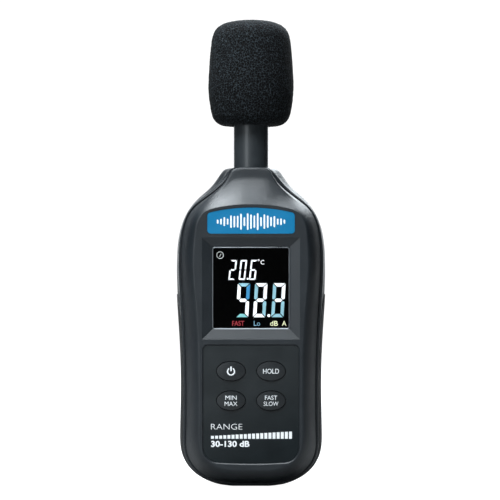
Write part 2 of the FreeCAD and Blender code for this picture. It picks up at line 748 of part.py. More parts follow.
def microphone_plug():
    return box(-3.0, 3.0, BOARD_BACK_Y, BOARD_BACK_Y + 4.0, PLUG_HIGH_Z - 6.0, PLUG_HIGH_Z)


def windscreen():
    """Revolved: flat underside, rounded shoulder, sides that swell a little, domed top."""
    low, high, widest = WINDSCREEN_LOW_Z, WINDSCREEN_HIGH_Z, WINDSCREEN_RADIUS
    half = [(11.3, low), (13.6, low + 1.1), (15.2, low + 3.0), (16.0, low + 5.6),
            (16.7, low + 9.5), (widest, low + 15.5), (16.95, low + 21.0), (16.55, low + 27.0),
            (16.1, low + 31.9), (15.6, low + 35.2), (14.3, low + 38.2), (12.3, low + 40.0),
            (8.8, low + 41.3), (4.5, high - 0.15), (0, high)]
    whole = half + [(-x, z) for x, z in reversed(half[:-1])]
    side = Part.BSplineCurve()
    side.interpolate(Points=[Vec(x, 0, z) for x, z in whole])
    side.segment(side.FirstParameter, side.getKnot(len(half)))
    wire = Part.Wire([line((0, low), (11.3, low)), side.toShape(), line((0, high), (0, low))])
    foam = Part.Face(wire).revolve(Vec(0, 0, 0), UP, 360)
    return foam.cut(post(WINDSCREEN_BORE, low - OVERRUN, low + WINDSCREEN_BORE_DEPTH))


# ---- rear housing, grip, batteries --------------------------------------------------------------

def grip_zone(front, margin):
    """Side view of the grip, run across the case: full depth below, a point above."""
    back, low, top = GRIP_BACK_Y + margin, -OVERRUN, GRIP_TOP_Z + margin
    full = GRIP_FULL_Z + margin
    side = [(front, low), (back, low), (back, full - 8.0), (5.0 + margin, full),
            (GRIP_TIP_Y, top), (front, top - 8.0)]
    points = [Vec(-50, y, z) for y, z in side]
    return Part.Face(Part.makePolygon(points + points[:1])).extrude(Vec(100, 0, 0))


def grip_band():
    """The layer that the grip takes up."""
    return grip_zone(GRIP_FRONT_Y, 0.0).cut(back_form(GRIP_THICKNESS))


def grip_backing():
    """The case's wall behind the grip, in the space that would be hollow without it."""
    return grip_zone(PARTING_Y, GRIP_BACKING).cut(back_form(GRIP_THICKNESS + GRIP_BACKING))


def rubber_grip():
    return back_form(-GRIP_PROUD).common(ABOVE_BASE).common(grip_band())


def battery_bay():
    return box(-BAY_HALF_WIDTH, BAY_HALF_WIDTH, BAY_FLOOR_Y, BACK_FACE_Y + OVERRUN, BAY_LOW_Z, BAY_HIGH_Z)


def bay_block():
    """The walls and floor round the bay, before it is hollowed."""
    return box(-BAY_HALF_WIDTH - BAY_WALL, BAY_HALF_WIDTH + BAY_WALL, BAY_FLOOR_Y - BAY_WALL,
               BACK_FACE_Y, BAY_LOW_Z - BAY_WALL, BAY_HIGH_Z + BAY_WALL)


def hook_places():
    return (-HOOK_X, HOOK_X)


def hooks():
    """Tongues that reach down behind the housing's wall."""
    return [box(x - HOOK_WIDTH / 2, x + HOOK_WIDTH / 2, HOOK_OUTER_Y - HOOK_DEPTH, HOOK_OUTER_Y,
                DOOR_LOW_Z - HOOK_REACH, DOOR_LOW_Z + 2.0) for x in hook_places()]


def axle(radius, x, half_length):
    """A cylinder on the door's turning axis."""
    return Part.makeCylinder(radius, 2 * half_length, Vec(x - half_length, HINGE_Y, HINGE_Z), Vec(1, 0, 0))


def hook_pockets():
    """Room behind the housing's wall for the tongues to turn inwards."""
    swing = math.hypot(HINGE_Y - HOOK_OUTER_Y + HOOK_DEPTH, HINGE_Z - DOOR_LOW_Z + HOOK_REACH)
    inside = box(-50, 50, -50, HOOK_OUTER_Y + DOOR_GAP, 0, 50)
    return [axle(swing + DOOR_GAP, x, HOOK_WIDTH / 2 + DOOR_GAP).common(inside) for x in hook_places()]


def outside_round_edge():
    """What the lid's lower edge loses when it is rounded about the turning axis."""
    strip = box(-DOOR_HALF_WIDTH - OVERRUN, DOOR_HALF_WIDTH + OVERRUN, HINGE_Y - 5.0,
                HINGE_Y + 5.0, DOOR_LOW_Z - OVERRUN, HINGE_Z)
    return strip.cut(axle(DOOR_THICKNESS / 2, 0, DOOR_HALF_WIDTH + 2 * OVERRUN))


def hook_roots():
    """Blocks that tie the tongues to the lid."""
    inner = BACK_FACE_Y - DOOR_THICKNESS
    return [box(x - HOOK_WIDTH / 2, x + HOOK_WIDTH / 2, inner - 0.3, inner + 0.1,
                DOOR_LOW_Z + 0.4, DOOR_LOW_Z + 2.0) for x in hook_places()]


def door_plate(gap, y0, y1):
    """The lid's outline: round upper corners, and square lower ones that leave it free to turn."""
    half, low = DOOR_HALF_WIDTH + gap, DOOR_LOW_Z - gap
    plate = rounded_plate(half, low, DOOR_HIGH_Z + gap, y0, y1, DOOR_CORNER + gap)
    return join([plate, box(-half, half, y0, y1, low, low + 2 * DOOR_CORNER)])


def door_seat():
    return door_plate(DOOR_GAP, BACK_FACE_Y - DOOR_THICKNESS - 0.15, BACK_FACE_Y + OVERRUN)


def finger_notch():
    """A dished notch above the door, for a fingertip."""
    return Part.makeSphere(9.0, Vec(0, BACK_FACE_Y + 7.6, DOOR_HIGH_Z + 0.5))


def rear_housing():
    hollow = back_form(WALL).cut([neck_rib(), grip_backing()])
    shell = BACK_OUTER.cut(hollow)
    bosses = [rod(BOSS_RADIUS, PARTING_Y + 0.1, BACK_FACE_Y - 0.3, x, z) for x, z in HOUSING_SCREWS]
    socket = rod(TRIPOD_OUTER + 1.6, BACK_FACE_Y - TRIPOD_LENGTH - 1.5, BACK_FACE_Y - 0.5, 0, TRIPOD_Z)
    added = [s.common(BACK_OUTER) for s in bosses + [socket, bay_block()]]
    shell = shell.fuse(added)
    tools = [battery_bay(), door_seat(), tube_passage(), finger_notch(), grip_band()]
    tools += hook_pockets()
    tools += screw_holes(HOUSING_SCREWS, SCREW_RADIUS + SCREW_CLEARANCE, RIM_Y - OVERRUN, BACK_FACE_Y)
    tools += screw_holes(HOUSING_SCREWS, SCREW_HEAD_RADIUS + SCREW_CLEARANCE,
                         BACK_FACE_Y - SCREW_SINK, BACK_FACE_Y + OVERRUN)
    tools.append(rod(TRIPOD_OUTER, BACK_FACE_Y - TRIPOD_LENGTH, BACK_FACE_Y + OVERRUN, 0, TRIPOD_Z))
    tools.append(label(BACK_FACE_Y + OVERRUN))
    tools.append(front_seat())
    tools += [rod(1.4, BAY_FLOOR_Y - 2 * BAY_WALL, BAY_FLOOR_Y + OVERRUN, x, BAY_HIGH_Z - 3.0)
              for x in (-LEAD_X, LEAD_X)]
    return shell.cut(tools)


def front_seat():
    """The space inside the rim that the front shell's edge drops into."""
    edge = inset(SPLIT, -SEAT_GAP)
    return Part.makeLoft([level_ring(edge, RIM_Y - OVERRUN), level_ring(edge, PARTING_Y)], True, True)


def label(outer_y):
    return rounded_plate(LABEL_HALF_WIDTH, LABEL_LOW_Z, LABEL_HIGH_Z,
                         BACK_FACE_Y - LABEL_THICKNESS, outer_y, 1.5)


def rear_label():
    return label(BACK_FACE_Y)


def battery_door():
    """A ribbed lid with a round lower edge, two hooks beside it, and a latch tongue on its upper edge."""
    inner = BACK_FACE_Y - DOOR_THICKNESS
    lid = door_plate(0.0, inner, BACK_FACE_Y).cut(outside_round_edge())
    latch_cuts = [box(x - 0.4, x + 0.4, inner - OVERRUN, BACK_FACE_Y + OVERRUN,
                      DOOR_HIGH_Z - 8.0, DOOR_HIGH_Z - 1.6) for x in (-5.0, 5.0)]
    grooves = [box(-9.0, 9.0, BACK_FACE_Y - 0.4, BACK_FACE_Y + OVERRUN,
                   DOOR_LOW_Z + 6.0 + 2.4 * row, DOOR_LOW_Z + 7.0 + 2.4 * row) for row in range(4)]
    return join([lid] + hooks() + hook_roots()).cut(latch_cuts + grooves)


def cell_places():
    return [(index - 1) * CELL_PITCH for index in range(3)]


CELL_Y = BAY_FLOOR_Y + CELL_RADIUS + 0.4
CELL_LOW_Z = (BAY_LOW_Z + BAY_HIGH_Z - CELL_LENGTH) / 2


def battery(index):
    """A cell with its raised positive cap, the middle one upside down."""
    x = cell_places()[index]
    cap_height = 1.0
    body = post(CELL_RADIUS, CELL_LOW_Z, CELL_LOW_Z + CELL_LENGTH - cap_height, x, CELL_Y)
    body = body.makeFillet(0.4, [e for e in body.Edges if e.Curve.TypeId == "Part::GeomCircle"])
    top = CELL_LOW_Z + CELL_LENGTH
    cap = post(1.9, top - cap_height - 0.1, top, x, CELL_Y)
    cell = join([body, cap])
    if index == 1:
        cell.rotate(Vec(x, CELL_Y, CELL_LOW_Z + CELL_LENGTH / 2), Vec(1, 0, 0), 180)
    return cell


def battery_contacts():
    """Flat plates on the bay's end walls: one double plate and two single ones with tabs."""
    thick, half = 0.3, 4.4
    y0, y1 = CELL_Y - half, CELL_Y + half
    left, middle, right = cell_places()
    top, low = BAY_HIGH_Z, BAY_LOW_Z
    upper_double = box(middle - half, right + half, y0, y1, top - thick, top)
    lower_double = box(left - half, middle + half, y0, y1, low, low + thick)
    upper_single = box(left - half, left + half, y0, y1, top - thick, top)
    lower_single = box(right - half, right + half, y0, y1, low, low + thick)
    return group([upper_double, lower_double, upper_single, lower_single])


def leaf_spring(x, upright):
    """A bowed strip between a cell's flat end and the contact plate."""
    gap = CELL_LOW_Z - BAY_LOW_Z - 0.3
    base = BAY_LOW_Z + 0.3
    profile = [(-3.6, 0), (-3.2, 0), (0, gap - 0.3), (3.2, 0), (3.6, 0), (3.6, 0.25),
               (3.3, 0.25), (0.2, gap), (-0.2, gap), (-3.3, 0.25), (-3.6, 0.25)]
    points = [Vec(x + dx, CELL_Y - 2.0, base + dz) for dx, dz in profile]
    strip = Part.Face(Part.makePolygon(points + points[:1])).extrude(Vec(0, 4.0, 0))
    if not upright:
        strip.rotate(Vec(x, CELL_Y, (BAY_LOW_Z + BAY_HIGH_Z) / 2), Vec(0, 1, 0), 180)
    return strip


def battery_leaf_springs():
    return group([leaf_spring(x, index != 1) for index, x in enumerate(cell_places())])


LEAD_X = 15.0


def battery_leads():
    """Two wires from the bay's contacts, through its floor, to the board."""
    wires = []
    for side in (-1, 1):
        x = side * LEAD_X
        z = BAY_HIGH_Z - 3.0
        wires.append(wire_run([(x, BAY_FLOOR_Y + 0.6, z), (x, BAY_FLOOR_Y - 3.6, z),
                               (x, BOARD_BACK_Y + 2.6, z - 1.4), (x, BOARD_BACK_Y, z - 1.4)], 0.65))
    return group(wires)


def housing_screws():
    """Self-tapping screws from the back, sunk in their bosses."""
    screws = []
    head_y = BACK_FACE_Y - SCREW_SINK
    for x, z in HOUSING_SCREWS:
        head = rod(SCREW_HEAD_RADIUS, head_y, head_y + SCREW_HEAD_HEIGHT, x, z)
        rim = [e for e in head.Edges if e.CenterOfMass.y > head_y + SCREW_HEAD_HEIGHT - 0.01]
        head = head.makeFillet(0.5, rim[:1])
        shank = rod(SCREW_RADIUS - 0.03, head_y - SCREW_LENGTH, head_y + 0.1, x, z)
        slots = cross_recess(x, z, head_y + SCREW_HEAD_HEIGHT, 1.3, 1.0)
        screws.append(join([head, shank]).cut(slots))
    return group(screws)


def tripod_insert():
    """A flanged brass insert with a 1/4-20 thread, shown as its minor bore."""
    low = BACK_FACE_Y - TRIPOD_LENGTH
    body = rod(TRIPOD_OUTER, low, BACK_FACE_Y - 0.1, 0, TRIPOD_Z)
    return body.cut(rod(TRIPOD_RADIUS, low - OVERRUN, BACK_FACE_Y + OVERRUN, 0, TRIPOD_Z))


# ---- the assembly -------------------------------------------------------------------------------

def assembly():
    nodes = {
        "front_housing": front_housing(),
        "rear_housing": rear_housing(),
        "rubber_grip": rubber_grip(),
        "badge_plate": badge_plate(),
        "display_window": display_window(),
        "lcd_glass": lcd_glass(),
        "lcd_backlight": lcd_backlight(),
        "backlight_leds": backlight_leds(),
        "lcd_frame": lcd_frame(),
        "zebra_connectors": zebra_connectors(),
        "keypad_panel": keypad_panel(),
        "keypad_mat": keypad_mat(),
        "main_board": main_board(),
        "board_screws": board_screws(),
        "controller_chip": controller_chip(),
        "amplifier_chips": amplifier_chips(),
        "quartz_crystal": quartz_crystal(),
        "electrolytic_capacitors": electrolytic_capacitors(),
        "chip_passives": chip_passives(),
        "temperature_sensor": temperature_sensor(),
        "microphone_tube": microphone_tube(),
        "microphone_holder": microphone_holder(),
        "microphone_capsule": microphone_capsule(),
        "microphone_grille": microphone_grille(),
        "microphone_lead": microphone_lead(),
        "microphone_plug": microphone_plug(),
        "windscreen": windscreen(),
        "battery_door": battery_door(),
        "battery_contacts": battery_contacts(),
        "battery_leaf_springs": battery_leaf_springs(),
        "battery_leads": battery_leads(),
        "housing_screws": housing_screws(),
        "tripod_insert": tripod_insert(),
        "rear_label": rear_label(),
    }
    for index in range(3):
        nodes["battery_%d" % (index + 1)] = battery(index)
    for name, (x, z) in KEYS.items():
        nodes[name + "_button"] = key_button(x, z)
        nodes[name + "_pill"] = key_pill(x, z)
    return nodes


def write(nodes):
    os.makedirs("parts", exist_ok=True)
    for name, shape in sorted(nodes.items()):
        shape.exportStep("parts/" + name + ".step")
        bounds = shape.BoundBox
        print("%-26s solids %2d  volume %9.1f  valid %s  y %.1f..%.1f  z %.1f..%.1f" % (
            name, len(shape.Solids), shape.Volume, shape.isValid(),
            bounds.YMin, bounds.YMax, bounds.ZMin, bounds.ZMax))


write(assembly())
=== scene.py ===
import math
import random

import bmesh
import bpy
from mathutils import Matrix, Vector, noise


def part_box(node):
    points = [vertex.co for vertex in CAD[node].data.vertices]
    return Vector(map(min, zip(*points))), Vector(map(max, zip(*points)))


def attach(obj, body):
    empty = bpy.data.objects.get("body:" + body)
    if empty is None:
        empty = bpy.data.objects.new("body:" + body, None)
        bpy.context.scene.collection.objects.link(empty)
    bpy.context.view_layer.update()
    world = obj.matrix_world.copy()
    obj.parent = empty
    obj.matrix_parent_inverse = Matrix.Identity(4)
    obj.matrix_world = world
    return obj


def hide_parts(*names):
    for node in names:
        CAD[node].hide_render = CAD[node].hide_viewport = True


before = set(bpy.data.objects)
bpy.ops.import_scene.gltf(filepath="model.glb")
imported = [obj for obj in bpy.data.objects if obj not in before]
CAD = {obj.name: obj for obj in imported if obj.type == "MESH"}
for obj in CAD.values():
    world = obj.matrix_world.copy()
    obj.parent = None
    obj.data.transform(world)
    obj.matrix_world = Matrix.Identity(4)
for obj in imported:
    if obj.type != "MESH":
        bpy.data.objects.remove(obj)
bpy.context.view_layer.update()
MM = 0.001
INK = 0.03 * MM  # thickness of print, and of the display's segments
EMBED = 0.005 * MM  # how far print is let into a flat surface
DISPLAY_OPENING = (14.95 * MM, 62.8 * MM, 94.6 * MM)  # half width, low and high


# ---- materials -----------------------------------------------------------------------------

class Shader:
    """A node material, with short calls for the nodes that every finish here uses."""

    def __init__(self, name):
        self.material = bpy.data.materials.new(name)
        self.material.use_nodes = True
        self.tree = self.material.node_tree
        self.bsdf = self.tree.nodes["Principled BSDF"]
        self.place = self.node("ShaderNodeTexCoord").outputs["Object"]

    def node(self, kind, **values):
        made = self.tree.nodes.new(kind)
        for name, value in values.items():
            setattr(made, name, value)
        return made

    def link(self, source, target):
        self.tree.links.new(source, target)

    def set(self, **values):
        for name, value in values.items():
            self.bsdf.inputs[name.replace("_", " ")].default_value = value

    def stretched(self, x=1.0, y=1.0, z=1.0):
        mapping = self.node("ShaderNodeMapping")
        mapping.inputs["Scale"].default_value = (x, y, z)
        self.link(self.place, mapping.inputs["Vector"])
        return mapping.outputs["Vector"]

    def noise(self, size, detail=3.0, place=None):
        texture = self.node("ShaderNodeTexNoise")
        texture.inputs["Scale"].default_value = 1.0 / size
        texture.inputs["Detail"].default_value = detail
        self.link(place or self.place, texture.inputs["Vector"])
        return texture.outputs["Fac"]

    def cells(self, size, feature="F1"):
        texture = self.node("ShaderNodeTexVoronoi", feature=feature)
        texture.inputs["Scale"].default_value = 1.0 / size
        self.link(self.place, texture.inputs["Vector"])
        return texture.outputs["Distance"]

    def ramp(self, factor, stops, interpolation="LINEAR"):
        ramp = self.node("ShaderNodeValToRGB")
        ramp.color_ramp.interpolation = interpolation
        elements = ramp.color_ramp.elements
        while len(elements) < len(stops):
            elements.new(0.5)
        for element, (position, color) in zip(elements, stops):
            element.position = position
            element.color = (*color, 1.0)
        self.link(factor, ramp.inputs["Fac"])
        return ramp.outputs["Color"]

    def spread(self, factor, low, high):
        """Stretches a noise's usual range, 0.3 to 0.7, to run from low to high."""
        remap = self.node("ShaderNodeMapRange")
        remap.inputs["From Min"].default_value = 0.3
        remap.inputs["From Max"].default_value = 0.7
        remap.inputs["To Min"].default_value = low
        remap.inputs["To Max"].default_value = high
        self.link(factor, remap.inputs["Value"])
        return remap.outputs["Result"]

    def bump(self, height, depth):
        bump = self.node("ShaderNodeBump")
        bump.inputs["Strength"].default_value = 1.0
        bump.inputs["Distance"].default_value = depth
        self.link(height, bump.inputs["Height"])
        self.link(bump.outputs["Normal"], self.bsdf.inputs["Normal"])


def tone(color, factor):
    return tuple(min(channel * factor, 1.0) for channel in color)


def grained(name, color, rough, grain=0.4 * MM, depth=0.02 * MM, variety=0.12, metal=0.0, coat=0.0, spec=0.5):
    """A moulded, painted or cast finish: fine grain, soft mottling and an uneven sheen."""
    shader = Shader(name)
    fine = shader.noise(grain, 2.0)
    broad = shader.noise(9.0 * MM, 3.0)
    base = shader.ramp(broad, [(0.3, tone(color, 1 - variety)), (0.7, tone(color, 1 + variety))])
    shader.link(base, shader.bsdf.inputs["Base Color"])
    shader.link(shader.spread(broad, rough - 0.04, rough + 0.05), shader.bsdf.inputs["Roughness"])
    shader.set(Metallic=metal, Coat_Weight=coat, Specular_IOR_Level=spec)
    shader.bump(fine, depth)
    return shader.material


def brushed(name, color, rough, along=(1.0, 1.0, 0.04)):
    """Drawn or turned metal, with fine lines along one direction."""
    shader = Shader(name)
    lines = shader.noise(0.12 * MM, 3.0, shader.stretched(*along))
    base = shader.ramp(lines, [(0.3, tone(color, 0.85)), (0.7, tone(color, 1.1))])
    shader.link(base, shader.bsdf.inputs["Base Color"])
    shader.link(shader.spread(lines, rough - 0.05, rough + 0.08), shader.bsdf.inputs["Roughness"])
    shader.set(Metallic=1.0)
    shader.bump(lines, 0.004 * MM)
    return shader.material


def stippled(name, color, rough):
    """Moulded rubber with an even stipple of small raised dots."""
    shader = Shader(name)
    dots = shader.cells(0.9 * MM)
    broad = shader.noise(12.0 * MM, 3.0)
    shader.link(shader.ramp(broad, [(0.3, tone(color, 0.85)), (0.7, tone(color, 1.15))]),
                shader.bsdf.inputs["Base Color"])
    shader.link(shader.spread(broad, rough - 0.05, rough + 0.05), shader.bsdf.inputs["Roughness"])
    height = shader.node("ShaderNodeMath", operation="SUBTRACT")
    height.inputs[0].default_value = 1.0
    shader.link(dots, height.inputs[1])
    shader.bump(height.outputs[0], 0.12 * MM)
    return shader.material


def film_finish():
    """The keypad's printed film, whose sheen fades towards its lower right corner."""
    material = grained("keypad_film", (0.006, 0.009, 0.0105), 0.38, grain=0.6 * MM, depth=0.004 * MM)
    tree = material.node_tree
    parts = tree.nodes.new("ShaderNodeSeparateXYZ")
    tree.links.new(tree.nodes["Texture Coordinate"].outputs["Object"], parts.inputs["Vector"])
    slope = tree.nodes.new("ShaderNodeMath")
    slope.operation = "MULTIPLY_ADD"
    slope.inputs[1].default_value = -0.35
    tree.links.new(parts.outputs["X"], slope.inputs[0])
    tree.links.new(parts.outputs["Z"], slope.inputs[2])
    fade = tree.nodes.new("ShaderNodeMapRange")
    for name, value in (("From Min", 12 * MM), ("From Max", 40 * MM), ("To Min", 0.16), ("To Max", 0.55)):
        fade.inputs[name].default_value = value
    tree.links.new(slope.outputs[0], fade.inputs["Value"])
    tree.links.new(fade.outputs["Result"], tree.nodes["Principled BSDF"].inputs["Specular IOR Level"])
    return material


def foam_finish():
    """Open-cell black foam, with painted shade in its pits and painted light on the thin strands between
    them.
    """
    shader = Shader("foam")
    strands = shader.cells(0.95 * MM, "DISTANCE_TO_EDGE")
    specks = shader.noise(0.7 * MM, 3.0)
    # Painted light and shade: the strands' edges are coloured lighter, the pits between them near black.
    lit = shader.ramp(strands, [(0.02, (0.027, 0.034, 0.039)), (0.12, (0.0003, 0.0004, 0.0005))])
    dark = shader.node("ShaderNodeMix", data_type="RGBA", blend_type="MULTIPLY")
    dark.inputs["Factor"].default_value = 0.8
    # A mix node's sockets for colours come after its sockets for numbers and vectors.
    color_a, color_b, mixed = dark.inputs[6], dark.inputs[7], dark.outputs[2]
    shader.link(lit, color_a)
    shader.link(shader.ramp(specks, [(0.42, (0.02, 0.02, 0.02)), (0.60, (1.0, 1.0, 1.0))]), color_b)
    shader.link(mixed, shader.bsdf.inputs["Base Color"])
    shader.link(shader.spread(specks, 0.85, 1.0), shader.bsdf.inputs["Roughness"])
    shader.set(Specular_IOR_Level=0.12)
    shader.bump(specks, 0.4 * MM)
    return shader.material


def glowing(name, color, strength):
    """A lit segment of the display, a little uneven like a real backlight."""
    shader = Shader(name)
    patch = shader.noise(4.0 * MM, 2.0)
    lit = shader.ramp(patch, [(0.25, tone(color, 0.9)), (0.75, color)])
    shader.link(lit, shader.bsdf.inputs["Emission Color"])
    shader.link(lit, shader.bsdf.inputs["Base Color"])
    shader.set(Emission_Strength=strength, Roughness=0.5)
    return shader.material


def window_finish():
    """The clear pane in front of the display."""
    shader = Shader("window_clear")
    smudge = shader.noise(7.0 * MM, 3.0)
    tint = shader.ramp(smudge, [(0.3, (0.90, 0.93, 0.95)), (0.7, (0.94, 0.96, 0.97))])
    shader.link(tint, shader.bsdf.inputs["Base Color"])
    shader.set(Roughness=0.0, Transmission_Weight=1.0, IOR=1.49)
    return shader.material


def board_finish():
    """Solder mask over faint copper tracks."""
    shader = Shader("board_green")
    tracks = shader.node("ShaderNodeTexBrick")
    tracks.inputs["Scale"].default_value = 1.0
    tracks.inputs["Brick Width"].default_value = 5.0 * MM
    tracks.inputs["Row Height"].default_value = 1.3 * MM
    tracks.inputs["Mortar Size"].default_value = 0.16 * MM
    tracks.inputs["Color1"].default_value = (0.004, 0.055, 0.022, 1)
    tracks.inputs["Color2"].default_value = (0.005, 0.065, 0.027, 1)
    tracks.inputs["Mortar"].default_value = (0.012, 0.13, 0.05, 1)
    flat = shader.node("ShaderNodeMapping")
    flat.inputs["Rotation"].default_value = (math.radians(90), 0, 0)
    shader.link(shader.place, flat.inputs["Vector"])
    shader.link(flat.outputs["Vector"], tracks.inputs["Vector"])
    shader.link(tracks.outputs["Color"], shader.bsdf.inputs["Base Color"])
    shader.set(Roughness=0.35, Coat_Weight=0.3)
    shader.bump(tracks.outputs["Fac"], 0.02 * MM)
    return shader.material


def cell_finish(name, upright):
    """A battery's printed sleeve: a dark body with a lighter band at its positive end."""
    shader = Shader(name)
    parts = shader.node("ShaderNodeSeparateXYZ")
    shader.link(shader.place, parts.inputs["Vector"])
    height = shader.node("ShaderNodeMapRange")
    low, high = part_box("battery_1")
    height.inputs["From Min"].default_value = low.z if upright else high.z
    height.inputs["From Max"].default_value = high.z if upright else low.z
    shader.link(parts.outputs["Z"], height.inputs["Value"])
    sleeve, band, cap = (0.012, 0.014, 0.016), (0.55, 0.27, 0.05), (0.6, 0.61, 0.62)
    stops = [(0.0, cap), (0.01, sleeve), (0.3, sleeve), (0.31, band), (0.97, band), (0.98, cap)]
    base = shader.ramp(height.outputs["Result"], stops, "CONSTANT")
    shader.link(base, shader.bsdf.inputs["Base Color"])
    scuffs = shader.noise(3.0 * MM, 5.0)
    shader.link(shader.spread(scuffs, 0.22, 0.36), shader.bsdf.inputs["Roughness"])
    shader.bump(scuffs, 0.01 * MM)
    return shader.material


CASE = grained("case_plastic", (0.0080, 0.0110, 0.0140), 0.43, grain=0.35 * MM, depth=0.075 * MM)
KEY = grained("key_plastic", (0.0075, 0.0095, 0.011), 0.40, grain=0.5 * MM, depth=0.006 * MM)
FILM = film_finish()
RUBBER = stippled("grip_rubber", (0.0030, 0.0034, 0.0038), 0.70)
BADGE = grained("badge_blue", (0.0004, 0.142, 0.30), 0.36, grain=0.8 * MM, depth=0.004 * MM, variety=0.05)
TUBE = grained("tube_black", (0.019, 0.023, 0.026), 0.40, grain=0.3 * MM, depth=0.006 * MM, coat=0.15)
WHITE_INK = grained("white_ink", (0.80, 0.81, 0.82), 0.45, grain=0.3 * MM, depth=0.004 * MM, variety=0.04)
LABEL_INK = grained("label_ink", (0.015, 0.016, 0.017), 0.5, grain=0.3 * MM, depth=0.002 * MM)
GREY_INK = grained("legend_ink", (0.74, 0.76, 0.77), 0.45, grain=0.3 * MM, depth=0.004 * MM, variety=0.04)
RIM = grained("window_rim", (0.22, 0.235, 0.25), 0.3, grain=0.3 * MM, depth=0.002 * MM, metal=0.9)
LCD_BLACK = grained("lcd_black", (0.0003, 0.0003, 0.0004), 0.15, grain=0.8 * MM, depth=0.001 * MM, spec=0.12)
FOAM = foam_finish()
WINDOW = window_finish()

NODE_FINISHES = {
    CASE: ["front_housing", "rear_housing", "battery_door"],
    RUBBER: ["rubber_grip"],
    BADGE: ["badge_plate"],
    WINDOW: ["display_window"],
    LCD_BLACK: ["lcd_glass"],
    FILM: ["keypad_panel"],
    KEY: ["power_button", "hold_button", "min_max_button", "fast_slow_button"],
    TUBE: ["microphone_tube"],
    board_finish(): ["main_board"],
    cell_finish("cell_wrap", True): ["battery_1", "battery_3"],
    cell_finish("cell_wrap_turned", False): ["battery_2"],
    grained("chip_black", (0.018, 0.018, 0.019), 0.55, grain=0.2 * MM): [
        "controller_chip", "amplifier_chips"],
    grained("diffuser_white", (0.75, 0.77, 0.78), 0.4, variety=0.04): ["lcd_backlight"],
    grained("frame_white", (0.6, 0.61, 0.62), 0.5, variety=0.05): ["lcd_frame", "backlight_leds"],
    grained("silicone_grey", (0.14, 0.15, 0.16), 0.7): ["keypad_mat", "microphone_holder"],
    grained("carbon", (0.008, 0.008, 0.009), 0.8): [
        "power_pill", "hold_pill", "min_max_pill", "fast_slow_pill", "temperature_sensor"],
    grained("zebra_grey", (0.22, 0.22, 0.24), 0.7): ["zebra_connectors"],
    grained("lead_grey", (0.04, 0.04, 0.045), 0.5): ["microphone_lead"],
    grained("plug_white", (0.72, 0.70, 0.64), 0.45, variety=0.05): ["microphone_plug"],
    grained("wire_red", (0.40, 0.012, 0.012), 0.42): ["battery_leads"],
    grained("label_grey", (0.30, 0.31, 0.32), 0.5, variety=0.04): ["rear_label"],
    grained("passive_tan", (0.42, 0.30, 0.18), 0.5): ["chip_passives"],
    brushed("plated_steel", (0.62, 0.63, 0.65), 0.3): [
        "housing_screws", "board_screws", "battery_contacts", "battery_leaf_springs", "microphone_grille"],
    brushed("can_aluminium", (0.66, 0.67, 0.69), 0.35): [
        "electrolytic_capacitors", "quartz_crystal", "microphone_capsule"],
    brushed("insert_brass", (0.70, 0.50, 0.22), 0.3, (1.0, 0.04, 1.0)): ["tripod_insert"],
}

for finish, names in NODE_FINISHES.items():
    for node_name in names:
        mesh = CAD[node_name].data
        mesh.materials.clear()
        mesh.materials.append(finish)


# ---- camera and light --------------------------------------------------------------------------

def add_camera():
    """Square to the display, at the photograph's height and distance."""
    distance, view_width = 0.70, 0.19925
    data = bpy.data.cameras.new("camera")
    data.lens = data.sensor_width * distance / view_width
    camera = bpy.data.objects.new("camera", data)
    camera.location = (-0.0004, -distance, 0.0936)
    camera.rotation_euler = (math.radians(90), 0, 0)
    bpy.context.scene.collection.objects.link(camera)
    bpy.context.scene.camera = camera


def add_area(name, place, aim, size, power):
    data = bpy.data.lights.new(name, "AREA")
    data.shape = "RECTANGLE"
    data.size, data.size_y = size
    data.energy = power
    data.color = (0.89, 0.955, 1.0)
    light = bpy.data.objects.new(name, data)
    light.location = place
    light.rotation_euler = (Vector(aim) - Vector(place)).to_track_quat("-Z", "Y").to_euler()
    bpy.context.scene.collection.objects.link(light)


def add_world():
    """White to the camera. As a light it is a studio: bright behind and above, nearly dark elsewhere."""
    world = bpy.data.worlds.new("studio")
    bpy.context.scene.world = world
    world.use_nodes = True
    tree = world.node_tree
    tree.nodes.clear()

    def add(kind, **values):
        made = tree.nodes.new(kind)
        for name, value in values.items():
            setattr(made, name, value)
        return made

    toward = add("ShaderNodeSeparateXYZ")
    tree.links.new(add("ShaderNodeTexCoord").outputs["Generated"], toward.inputs[0])
    total = None
    # Each panel: the axis it faces along, where it starts, where it is full, and its strength there.
    panels = (("Y", 0.80, 0.99, 3.4), ("Z", 0.45, 0.95, 0.4),
              ("X", -0.6, -0.95, 0.06), ("Y", -0.5, -1.0, 0.015))
    for axis, start, full, strength in panels:
        panel = add("ShaderNodeMapRange", interpolation_type="SMOOTHSTEP")
        for name, value in (("From Min", start), ("From Max", full), ("To Min", 0.0), ("To Max", strength)):
            panel.inputs[name].default_value = value
        tree.links.new(toward.outputs[axis], panel.inputs["Value"])
        if total is None:
            total = panel.outputs[0]
            continue
        joined = add("ShaderNodeMath", operation="ADD")
        tree.links.new(total, joined.inputs[0])
        tree.links.new(panel.outputs[0], joined.inputs[1])
        total = joined.outputs[0]
    felt = add("ShaderNodeBackground")
    felt.inputs["Color"].default_value = (0.92, 0.965, 1.0, 1)
    tree.links.new(total, felt.inputs["Strength"])
    seen = add("ShaderNodeBackground")
    seen.inputs["Color"].default_value = (1, 1, 1, 1)
    seen.inputs["Strength"].default_value = 1.1
    blend = add("ShaderNodeMixShader")
    tree.links.new(add("ShaderNodeLightPath").outputs["Is Camera Ray"], blend.inputs[0])
    tree.links.new(felt.outputs[0], blend.inputs[1])
    tree.links.new(seen.outputs[0], blend.inputs[2])
    tree.links.new(blend.outputs[0], add("ShaderNodeOutputWorld").inputs[0])


